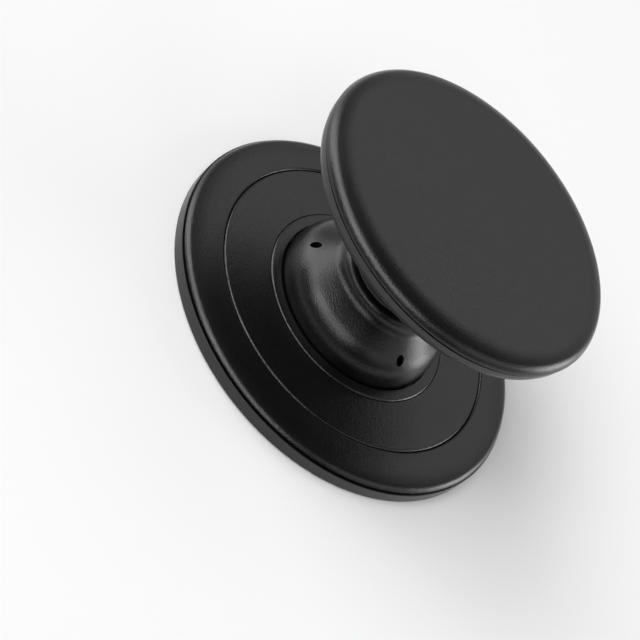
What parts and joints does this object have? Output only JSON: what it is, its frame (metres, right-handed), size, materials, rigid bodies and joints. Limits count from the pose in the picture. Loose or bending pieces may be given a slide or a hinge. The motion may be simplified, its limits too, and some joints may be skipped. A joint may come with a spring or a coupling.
{
  "type": "collapsible phone grip",
  "caption": "Round magnetic grip for the back of a phone: a flat base, a folded hollow stalk and a round finger plate that pushes down flat.",
  "frame": {"origin": "centre of the underside, on the face that meets the phone", "axes": "+Z along the axis, from the base to the finger plate; -Y towards the side the picture shows nearest"},
  "size_m": [0.058, 0.058, 0.0295],
  "materials": {
    "shell_black": "fine moulded grain",
    "stalk_elastomer": "satin",
    "pad_silicone": "matt",
    "magnet_nickel": "nickel plated",
    "shunt_steel": "cold rolled"
  },
  "bodies": {
    "base": {"friction_pad": "pad_silicone", "base_tray": "shell_black", "base_cover": "shell_black", "deck_insert": "shell_black", "stalk_collar": "shell_black", "shunt_ring": "shunt_steel", "stalk": "stalk_elastomer", "magnet_01": "magnet_nickel", "magnet_02": "magnet_nickel", "magnet_03": "magnet_nickel", "magnet_04": "magnet_nickel", "magnet_05": "magnet_nickel", "magnet_06": "magnet_nickel", "magnet_07": "magnet_nickel", "magnet_08": "magnet_nickel", "magnet_09": "magnet_nickel", "magnet_10": "magnet_nickel", "magnet_11": "magnet_nickel", "magnet_12": "magnet_nickel", "magnet_13": "magnet_nickel", "magnet_14": "magnet_nickel", "magnet_15": "magnet_nickel", "magnet_16": "magnet_nickel"},
    "plate": {"plate_back": "shell_black", "plate_face": "shell_black"}
  },
  "joints": [
    {"name": "collapse", "type": "slide", "parent": "base", "child": "plate", "axis": [0, 0, 1], "range_m": [-0.0217, 0], "deforming": ["stalk"]}
  ]
}
